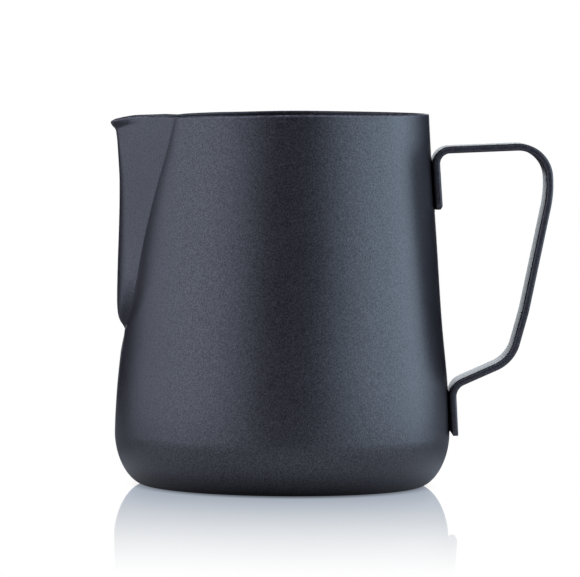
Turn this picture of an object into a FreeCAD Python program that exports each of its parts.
import FreeCAD, Part
import math
import os

import Sketcher

# Milk frothing pitcher, in millimetres. The origin lies on the body axis in the resting plane,
# +Z is up, the handle points to +X and the spout to -X. Four pieces: the jug body, the bent
# flat strap handle, and the weld nuggets of the upper and of the lower handle tab.

os.makedirs("parts", exist_ok=True)
V = FreeCAD.Vector
UP = V(0, 0, 1)

# Sketcher codes: points of a segment, and the sketch's own origin and axes
START, END, CENTRE = 1, 2, 3
ORIGIN = (-1, 1)
X_AXIS, Y_AXIS = -1, -2

doc = FreeCAD.newDocument("milk_frothing_pitcher")

# ---------------------------------------------------------------- driving dimensions
DIMENSIONS = [
    # lower body: recessed floor, resting ring, rounded corner, belly, and the split where
    # the spout sections take over
    ("body_height", 106.0), ("wall", 0.8), ("recess_depth", 0.8), ("recess_radius", 29.2),
    ("ring_inner", 30.4), ("ring_outer", 37.0), ("corner_radius", 10.6), ("corner_x", 47.6),
    ("belly_x", 46.88), ("belly_z", 30.5), ("belly_bend", 136.0),
    ("split_x", 45.457), ("split_z", 44.4),
    # rim line seen from the side: falls gently towards the lip, then over the beak;
    # all but rim_start_x are distances towards -X
    ("rim_start_x", 4.0), ("rim_dip_x", 30.8), ("rim_dip_z", 104.85), ("rim_bend", 527.0),
    ("lip_x", 43.6), ("lip_z", 104.82), ("beak_x", 49.6), ("beak_z", 102.8),
    ("beak_bend", 12.0),
    # reach of the rim cutter beyond the body, and its drop past the end of the beak
    ("trim_top", 112.0), ("trim_spout_x", 56.0), ("trim_handle_x", 60.0), ("trim_drop", 1.0),
    # strap section, its rounded edges and the corners of its tabs
    ("strap_width", 17.0), ("strap_thick", 2.0), ("strap_edge", 0.7), ("tab_corner", 2.0),
    # weld nuggets: size, tilt of the axis above +X in degrees, places of the inner ends
    ("nugget_radius", 2.5), ("nugget_length", 1.15), ("upper_tilt", 4.08), ("lower_tilt", 3.44),
    ("upper_a_x", 41.62), ("upper_a_z", 89.2), ("upper_b_x", 42.22), ("upper_b_z", 81.2),
    ("lower_a_x", 46.93), ("lower_a_z", 24.2), ("lower_b_x", 47.19), ("lower_b_z", 18.0),
]

# Outer body sections above the split: height, wall radius, half distance between the two
# creases where the spout leaves the wall, reach of the nose towards -X, nose radius
SECTION_KEYS = ("height", "radius", "crease", "nose", "nose_radius")
SECTIONS = [
    ("=split_z", "=split_x", 1.5, 45.50, 6.0),
    (46.4, 45.269, 3.6, 46.35, 5.0),
    (48.6, 45.076, 6.1, 47.02, 5.0),
    (52.0, 44.799, 9.3, 47.32, 5.0),
    (58.0, 44.356, 12.8, 47.32, 5.0),
    (66.0, 43.792, 15.4, 47.14, 5.0),
    (76.0, 43.038, 18.7, 46.92, 5.0),
    (86.0, 42.263, 21.6, 46.92, 4.9),
    (94.0, 41.676, 23.9, 47.36, 4.7),
    (100.0, 41.280, 25.4, 47.87, 4.5),
    (101.4, 41.195, 25.6, 48.10, 4.4),
    (103.0, 41.101, 25.85, 49.15, 4.3),
    (107.0, 40.878, 26.5, 51.20, 4.3),
]

# Vertices of the strap's centre line from the upper to the lower tab: x, z
STRAP_VERTICES = [
    (43.857, 78.95), (42.651, 95.736), (74.376, 97.307), (75.319, 84.065),
    (68.602, 50.414), (64.826, 36.47), (48.09, 28.885), (48.93, 14.68),
]
# Bend radius at each vertex between the two ends
STRAP_BENDS = [3.90, 8.86, 31.7, 45.9, 10.4, 4.53]


def fill_sheet():
    """Spreadsheet with a name, a value and an alias in each row."""
    rows = list(DIMENSIONS)
    for i, section in enumerate(SECTIONS):
        rows += [("section_%02d_%s" % (i, key), value)
                 for key, value in zip(SECTION_KEYS, section)]
    for i, (x, z) in enumerate(STRAP_VERTICES):
        rows += [("strap_%d_x" % i, x), ("strap_%d_z" % i, z)]
    rows += [("strap_%d_bend" % i, radius) for i, radius in enumerate(STRAP_BENDS, 1)]
    filled = doc.addObject("Spreadsheet::Sheet", "Dimensions")
    for row, (alias, value) in enumerate(rows, 1):
        filled.set("A%d" % row, alias)
        filled.set("B%d" % row, str(value))
        filled.setAlias("B%d" % row, alias)
    doc.recompute()
    return filled


sheet = fill_sheet()


# ---------------------------------------------------------------- formulas of aliases
def terms(formula):
    """Aliases and signs of a sum or difference such as 'corner_x-wall'."""
    return formula.replace("+", " + ").replace("-", " - ").split()


def size(formula):
    """Present value of a formula."""
    total, sign = 0.0, 1
    for term in terms(formula):
        if term in ("+", "-"):
            sign = 1 if term == "+" else -1
        else:
            total += sign * float(sheet.get(term))
    return total


def expression(formula):
    """The formula as a FreeCAD expression on the sheet."""
    return "".join(term if term in ("+", "-") else "Dimensions." + term
                   for term in terms(formula))


# ---------------------------------------------------------------- sketch helpers
def new_body(name):
    return doc.addObject("PartDesign::Body", name)


def new_sketch(body, name, role):
    """Sketch on the body's origin plane with the given role."""
    plane = next(f for f in body.Origin.OriginFeatures if f.Role == role)
    sketch = body.newObject("Sketcher::SketchObject", name)
    sketch.AttachmentSupport = [(plane, "")]
    sketch.MapMode = "FlatFace"
    return sketch


def offset_sketch(sketch, **formulas):
    """Move a sketch off its plane; the keywords are the axes x and z."""
    base = V(*(size(formulas[axis]) if axis in formulas else 0 for axis in "xyz"))
    sketch.AttachmentOffset = FreeCAD.Placement(base, FreeCAD.Rotation())
    for axis, formula in formulas.items():
        sketch.setExpression("AttachmentOffset.Base." + axis, expression(formula))


def constrain(sketch, kind, *args):
    return sketch.addConstraint(Sketcher.Constraint(kind, *args))


def bind(sketch, kind, *args):
    """Add a dimensional constraint driven by a formula, the last argument."""
    formula = args[-1]
    index = constrain(sketch, kind, *args[:-1], size(formula))
    sketch.setExpression("Constraints[%d]" % index, expression(formula))


def pin(sketch, segment, point, x, y):
    """Fix a point. None is zero, and a single alias led by '-' lies on the negative side."""
    for kind, formula, axis in (("DistanceX", x, Y_AXIS), ("DistanceY", y, X_AXIS)):
        if formula is None:
            constrain(sketch, "PointOnObject", segment, point, axis)
        elif formula.startswith("-"):
            bind(sketch, kind, segment, point, *ORIGIN, formula[1:])
        else:
            bind(sketch, kind, *ORIGIN, segment, point, formula)


def arc_towards(start, end, side, radius):
    """Counter-clockwise arc that joins start and end and bulges to the side of a point."""
    chord = end - start
    middle = (start + end) * 0.5
    away = V(-chord.y, chord.x, 0).normalize()
    if (side - middle).dot(away) > 0:
        away = away * -1
    centre = middle + away * math.sqrt(max(radius ** 2 - chord.Length ** 2 / 4, 0))
    first = math.atan2(start.y - centre.y, start.x - centre.x)
    last = math.atan2(end.y - centre.y, end.x - centre.x)
    if (last - first) % (2 * math.pi) > math.pi:
        first, last = last, first
    if last < first:
        last += 2 * math.pi
    return Part.ArcOfCircle(Part.Circle(centre, UP, radius), first, last)


def end_codes(segment, start):
    """Point codes of a segment's two ends, the one nearer to start first."""
    to_start = (segment.StartPoint - start).Length
    to_end = (segment.EndPoint - start).Length
    return (START, END) if to_start < to_end else (END, START)


def closed_profile(body, name, corners, bends):
    """Closed XZ sketch through corners given as (x, z) formulas.

    bends maps the corner where a segment starts to its radius; such a segment is an arc
    that bulges to the right of the direction of travel."""
    sketch = new_sketch(body, name, "XZ_Plane")
    points = [V(size(x) if x else 0, size(z) if z else 0, 0) for x, z in corners]
    count = len(points)
    segments = []
    for i, start in enumerate(points):
        end = points[(i + 1) % count]
        if i in bends:
            right = V(end.y - start.y, start.x - end.x, 0)
            segment = arc_towards(start, end, (start + end) * 0.5 + right, size(bends[i]))
        else:
            segment = Part.LineSegment(start, end)
        segments.append((sketch.addGeometry(segment, False), *end_codes(segment, start)))
    for i, (index, _, last) in enumerate(segments):
        following, first, _ = segments[(i + 1) % count]
        constrain(sketch, "Coincident", index, last, following, first)
    for (index, first, _), (x, z) in zip(segments, corners):
        pin(sketch, index, first, x, z)
    for i, radius in bends.items():
        bind(sketch, "Radius", segments[i][0], radius)
    return sketch


# ---------------------------------------------------------------- jug body
def lower_body(body, name, inner):
    """Floor, rounded corner and belly as one revolution: outer skin or cavity."""
    thinner = "-wall" if inner else ""
    raised = "+wall" if inner else ""
    ring_z = "wall" if inner else None
    corners = [
        (None, "recess_depth" + raised),
        ("recess_radius", "recess_depth" + raised),
        ("ring_inner", ring_z),
        ("ring_outer", ring_z),
        ("corner_x" + thinner, "corner_radius"),
        ("belly_x" + thinner, "belly_z"),
        ("split_x" + thinner, "split_z"),
        (None, "split_z"),
    ]
    bends = {3: "corner_radius" + thinner, 4: "belly_bend" + thinner}
    sketch = closed_profile(body, name + "_profile", corners, bends)
    revolution = body.newObject("PartDesign::Revolution", name + "_revolution")
    revolution.Profile = sketch
    revolution.ReferenceAxis = (sketch, ["V_Axis"])
    revolution.Angle = 360.0
    doc.recompute()


def flank_touch(crease_point, nose_centre, nose_radius):
    """Where the flank from a crease meets the nose arc: direction from its centre, and point."""
    offset = crease_point - nose_centre
    angle = math.atan2(offset.y, offset.x) + math.acos(min(1.0, nose_radius / offset.Length))
    outward = V(math.cos(angle), math.sin(angle), 0)
    return angle, nose_centre + outward * nose_radius


def point_on_wall(radius, crease):
    """Point of the wall circle at the crease, on the spout side."""
    return V(-math.sqrt(radius ** 2 - crease ** 2), crease, 0)


def inner_crease(radius, crease, nose_centre, nose_radius):
    """Half distance between the inner creases: flank and wall both move in by the wall."""
    wall = size("wall")
    crease_point = point_on_wall(radius, crease)
    angle, touch = flank_touch(crease_point, nose_centre, nose_radius)
    along = (touch - crease_point).normalize()
    start = crease_point - V(math.cos(angle), math.sin(angle), 0) * wall
    # nearer crossing of the moved flank with the inner wall circle
    half_b = start.dot(along)
    c = start.dot(start) - (radius - wall) ** 2
    root = math.sqrt(max(half_b ** 2 - c, 0.0))
    distance = min((-half_b - root, -half_b + root), key=abs)
    return start.y + distance * along.y


def spout_section(body, name, i, inner):
    """Body section with the V of the spout: wall arc, flank, rounded nose, flank."""
    height, radius, crease, nose, nose_radius = (
        "section_%02d_%s" % (i, key) for key in SECTION_KEYS)
    thinner = "-wall" if inner else ""
    nose_reach = nose + "-" + nose_radius
    nose_centre = V(-size(nose_reach), 0, 0)
    half_crease = size(crease)
    if inner:
        half_crease = inner_crease(size(radius), half_crease, nose_centre, size(nose_radius))
    radius += thinner
    nose_radius += thinner

    crease_point = point_on_wall(size(radius), half_crease)
    angle, touch = flank_touch(crease_point, nose_centre, size(nose_radius))
    wall_end = math.pi - math.asin(half_crease / size(radius))
    wall_circle = Part.Circle(V(0, 0, 0), UP, size(radius))
    nose_circle = Part.Circle(nose_centre, UP, size(nose_radius))
    sketch = new_sketch(body, "%s_section_%02d" % (name, i), "XY_Plane")
    offset_sketch(sketch, z=height)
    wall_arc, flank, nose_arc, far_flank = [sketch.addGeometry(segment, False) for segment in (
        Part.ArcOfCircle(wall_circle, -wall_end, wall_end),
        Part.LineSegment(crease_point, touch),
        Part.ArcOfCircle(nose_circle, angle, 2 * math.pi - angle),
        Part.LineSegment(V(touch.x, -touch.y, 0), V(crease_point.x, -crease_point.y, 0)),
    )]
    constrain(sketch, "Coincident", wall_arc, CENTRE, *ORIGIN)
    bind(sketch, "Radius", wall_arc, radius)
    constrain(sketch, "Coincident", wall_arc, END, flank, START)
    constrain(sketch, "Tangent", flank, END, nose_arc, START)
    constrain(sketch, "Tangent", nose_arc, END, far_flank, START)
    constrain(sketch, "Coincident", far_flank, END, wall_arc, START)
    constrain(sketch, "PointOnObject", nose_arc, CENTRE, X_AXIS)
    bind(sketch, "Radius", nose_arc, nose_radius)
    bind(sketch, "DistanceX", nose_arc, CENTRE, *ORIGIN, nose_reach)
    # the inner crease has no formula of aliases, so its computed value is set directly
    set_distance, distance = (constrain, half_crease) if inner else (bind, crease)
    set_distance(sketch, "DistanceY", *ORIGIN, flank, START, distance)
    set_distance(sketch, "DistanceY", far_flank, END, *ORIGIN, distance)
    return sketch


def upper_body(body, name, inner):
    """Loft through the spout sections."""
    sketches = [spout_section(body, name, i, inner) for i in range(len(SECTIONS))]
    doc.recompute()
    loft = body.newObject("PartDesign::AdditiveLoft", name + "_loft")
    loft.Profile = sketches[0]
    loft.Sections = sketches[1:]
    loft.Ruled = False
    loft.Closed = False
    doc.recompute()


def trim_rim(body):
    """Cut away everything above the rim line, seen from the side."""
    corners = [
        ("rim_start_x", "body_height"),
        ("-rim_dip_x", "rim_dip_z"),
        ("-lip_x", "lip_z"),
        ("-beak_x", "beak_z"),
        ("-trim_spout_x", "beak_z-trim_drop"),
        ("-trim_spout_x", "trim_top"),
        ("trim_handle_x", "trim_top"),
        ("trim_handle_x", "body_height"),
    ]
    sketch = closed_profile(body, "rim_line", corners, {0: "rim_bend", 2: "beak_bend"})
    doc.recompute()
    untrimmed = body.Shape.Volume
    trim = body.newObject("PartDesign::Pocket", "rim_trim")
    trim.Profile = sketch
    trim.Type = "ThroughAll"
    trim.Midplane = True
    doc.recompute()
    least_cut = 100.0
    if not untrimmed - body.Shape.Volume > least_cut:
        raise RuntimeError("the rim trim cut nothing")


def jug_skin(name, inner):
    """Outer skin or cavity of the jug; the cavity runs on past the rim."""
    body = new_body("jug_" + name)
    lower_body(body, name, inner)
    upper_body(body, name, inner)
    if not inner:
        trim_rim(body)
    return body


# ---------------------------------------------------------------- strap handle
def strap_centre_line(body):
    """Straight runs joined by tangent bends, with construction points at the vertices."""
    sketch = new_sketch(body, "strap_centre_line", "XZ_Plane")
    names = [("strap_%d_x" % i, "strap_%d_z" % i) for i in range(len(STRAP_VERTICES))]
    vertices = [V(size(x), size(z), 0) for x, z in names]
    marks = [sketch.addGeometry(Part.Point(vertex), True) for vertex in vertices]
    lines, bends = [], []
    start = vertices[0]
    for i in range(1, len(vertices) - 1):
        vertex = vertices[i]
        back = (vertices[i - 1] - vertex).normalize()
        ahead = (vertices[i + 1] - vertex).normalize()
        radius = "strap_%d_bend" % i
        setback = size(radius) / math.tan(back.getAngle(ahead) / 2)
        bend_start, bend_end = vertex + back * setback, vertex + ahead * setback
        lines.append(sketch.addGeometry(Part.LineSegment(start, bend_start), False))
        arc = arc_towards(bend_start, bend_end, vertex, size(radius))
        bends.append((sketch.addGeometry(arc, False), *end_codes(arc, bend_start), radius))
        start = bend_end
    lines.append(sketch.addGeometry(Part.LineSegment(start, vertices[-1]), False))

    for mark, (x, z) in zip(marks, names):
        pin(sketch, mark, START, x, z)
    for i, (arc, first, last, radius) in enumerate(bends):
        constrain(sketch, "Tangent", lines[i], END, arc, first)
        constrain(sketch, "Tangent", arc, last, lines[i + 1], START)
        bind(sketch, "Radius", arc, radius)
    constrain(sketch, "Coincident", lines[0], START, marks[0], START)
    constrain(sketch, "Coincident", lines[-1], END, marks[-1], START)
    for i, line in enumerate(lines):
        if i > 0:
            constrain(sketch, "PointOnObject", marks[i], START, line)
        if i < len(lines) - 1:
            constrain(sketch, "PointOnObject", marks[i + 1], START, line)
    return sketch, len(lines) + len(bends)


def strap_section(body):
    """Rectangle across the strap, centred on the upper end of the centre line."""
    sketch = new_sketch(body, "strap_section", "XY_Plane")
    offset_sketch(sketch, x="strap_0_x", z="strap_0_z")
    x, y = size("strap_thick") / 2, size("strap_width") / 2
    corners = [V(-x, -y, 0), V(x, -y, 0), V(x, y, 0), V(-x, y, 0)]
    sides = [sketch.addGeometry(Part.LineSegment(corners[i], corners[(i + 1) % 4]), False)
             for i in range(4)]
    for i in range(4):
        constrain(sketch, "Coincident", sides[i], END, sides[(i + 1) % 4], START)
    constrain(sketch, "Horizontal", sides[0])
    constrain(sketch, "Horizontal", sides[2])
    constrain(sketch, "Vertical", sides[1])
    constrain(sketch, "Symmetric", sides[0], START, sides[2], START, *ORIGIN)
    bind(sketch, "DistanceX", sides[0], START, sides[0], END, "strap_thick")
    bind(sketch, "DistanceY", sides[1], START, sides[1], END, "strap_width")
    return sketch


def tab_corner_edges(shape):
    """The short edges through the thickness at both ends of the strap."""
    half_width, thick = size("strap_width") / 2, size("strap_thick")
    upper_z, lower_z = size("strap_0_z"), size("strap_%d_z" % (len(STRAP_VERTICES) - 1))
    found = []
    for number, edge in enumerate(shape.Edges, 1):
        a, b = edge.Vertexes[0].Point, edge.Vertexes[-1].Point
        middle_z = (a.z + b.z) / 2
        on_side = abs(abs(a.y) - half_width) < 1e-3 and abs(a.y - b.y) < 1e-3
        across = abs(edge.Length - thick) < 0.1 and abs(a.z - b.z) < 0.3
        at_end = middle_z < lower_z + 1 or abs(middle_z - upper_z) < 1
        if on_side and across and at_end:
            found.append("Edge%d" % number)
    if len(found) != 4:
        raise RuntimeError("expected four tab corners, found %d" % len(found))
    return found


def is_broad(face):
    """True for the broad sides and the end faces, which run across the strap."""
    u_min, u_max, v_min, v_max = face.ParameterRange
    normal = face.normalAt((u_min + u_max) / 2, (v_min + v_max) / 2)
    return abs(normal.y) < 0.05 and face.BoundBox.YLength > 10.5


def rim_edges(shape):
    """Edges around the broad sides, without the full-width ones between runs and bends."""
    found = []
    for number, edge in enumerate(shape.Edges, 1):
        faces = shape.ancestorsOfType(edge, Part.Face)
        if len(faces) != 2:
            continue
        first, second = (is_broad(face) for face in faces)
        at_tab_end = first and second and 5 < edge.BoundBox.YLength < 16.9
        if first != second or at_tab_end:
            found.append("Edge%d" % number)
    return found


def add_fillet(body, name, base, edges, radius):
    fillet = body.newObject("PartDesign::Fillet", name)
    fillet.Base = (base, edges)
    fillet.Radius = size(radius)
    fillet.setExpression("Radius", expression(radius))
    doc.recompute()
    return fillet


def strap_bar():
    """Swept strap with rounded tab corners, then rounded edges."""
    body = new_body("strap_bar")
    spine, edge_count = strap_centre_line(body)
    profile = strap_section(body)
    doc.recompute()
    sweep = body.newObject("PartDesign::AdditivePipe", "strap_sweep")
    sweep.Profile = profile
    sweep.Spine = (spine, ["Edge%d" % (i + 1) for i in range(edge_count)])
    sweep.Mode = "Standard"
    sweep.Transition = "Transformed"
    doc.recompute()
    if spine.solve() != 0 or profile.solve() != 0 or not body.Shape.Volume > 0:
        raise RuntimeError("the strap sweep failed")
    tabs = add_fillet(body, "tab_corners", sweep, tab_corner_edges(sweep.Shape), "tab_corner")
    add_fillet(body, "rounded_edges", tabs, rim_edges(tabs.Shape), "strap_edge")
    return body


# ---------------------------------------------------------------- weld nuggets
def nugget(name, place, tilt):
    """Short cylinder from its place outwards, its axis tilted up from +X."""
    cylinder = doc.addObject("Part::Cylinder", name)
    cylinder.setExpression("Radius", expression("nugget_radius"))
    cylinder.setExpression("Height", expression("nugget_length"))
    angle = math.radians(size(tilt))
    turn = FreeCAD.Rotation(UP, V(math.cos(angle), 0, math.sin(angle)))
    base = V(size(place + "_x"), 0, size(place + "_z"))
    cylinder.Placement = FreeCAD.Placement(base, turn)
    for axis in "xz":
        cylinder.setExpression("Placement.Base." + axis, expression(place + "_" + axis))
    return cylinder


def compound(name, links):
    group = doc.addObject("Part::Compound", name)
    group.Links = links
    return group


def nugget_pair(tab):
    """The two nuggets of the upper or lower tab."""
    name = tab + "_weld_nuggets"
    return compound(name, [nugget("%s_%d" % (name, i), "%s_%s" % (tab, place), tab + "_tilt")
                           for i, place in enumerate("ab", 1)])


# ---------------------------------------------------------------- assembly and export
def cut(name, base, tool):
    result = doc.addObject("Part::Cut", name)
    result.Base = base
    result.Tool = tool
    return result


outside = jug_skin("outside", inner=False)
inside = jug_skin("inside", inner=True)
blank = cut("jug_blank", outside, inside)
doc.recompute()
strap = strap_bar()

upper_nuggets = nugget_pair("upper")
lower_nuggets = nugget_pair("lower")
doc.recompute()
# body and strap both give way to the nuggets
pockets = compound("weld_pockets", upper_nuggets.Links + lower_nuggets.Links)
doc.recompute()
shell = cut("body_shell", blank, pockets)
handle = cut("handle_strap", strap, pockets)
doc.recompute()

failed = [o.Name for o in doc.Objects if "Invalid" in o.State or "Error" in o.State]
if failed:
    raise RuntimeError("failed objects: " + ", ".join(failed))
for piece in (shell, handle, upper_nuggets, lower_nuggets):
    shape = piece.Shape
    if shape.isNull() or not shape.isValid() or shape.Volume <= 0:
        raise RuntimeError("bad shape: " + piece.Label)
    shape.exportStep(os.path.join("parts", piece.Label + ".step"))
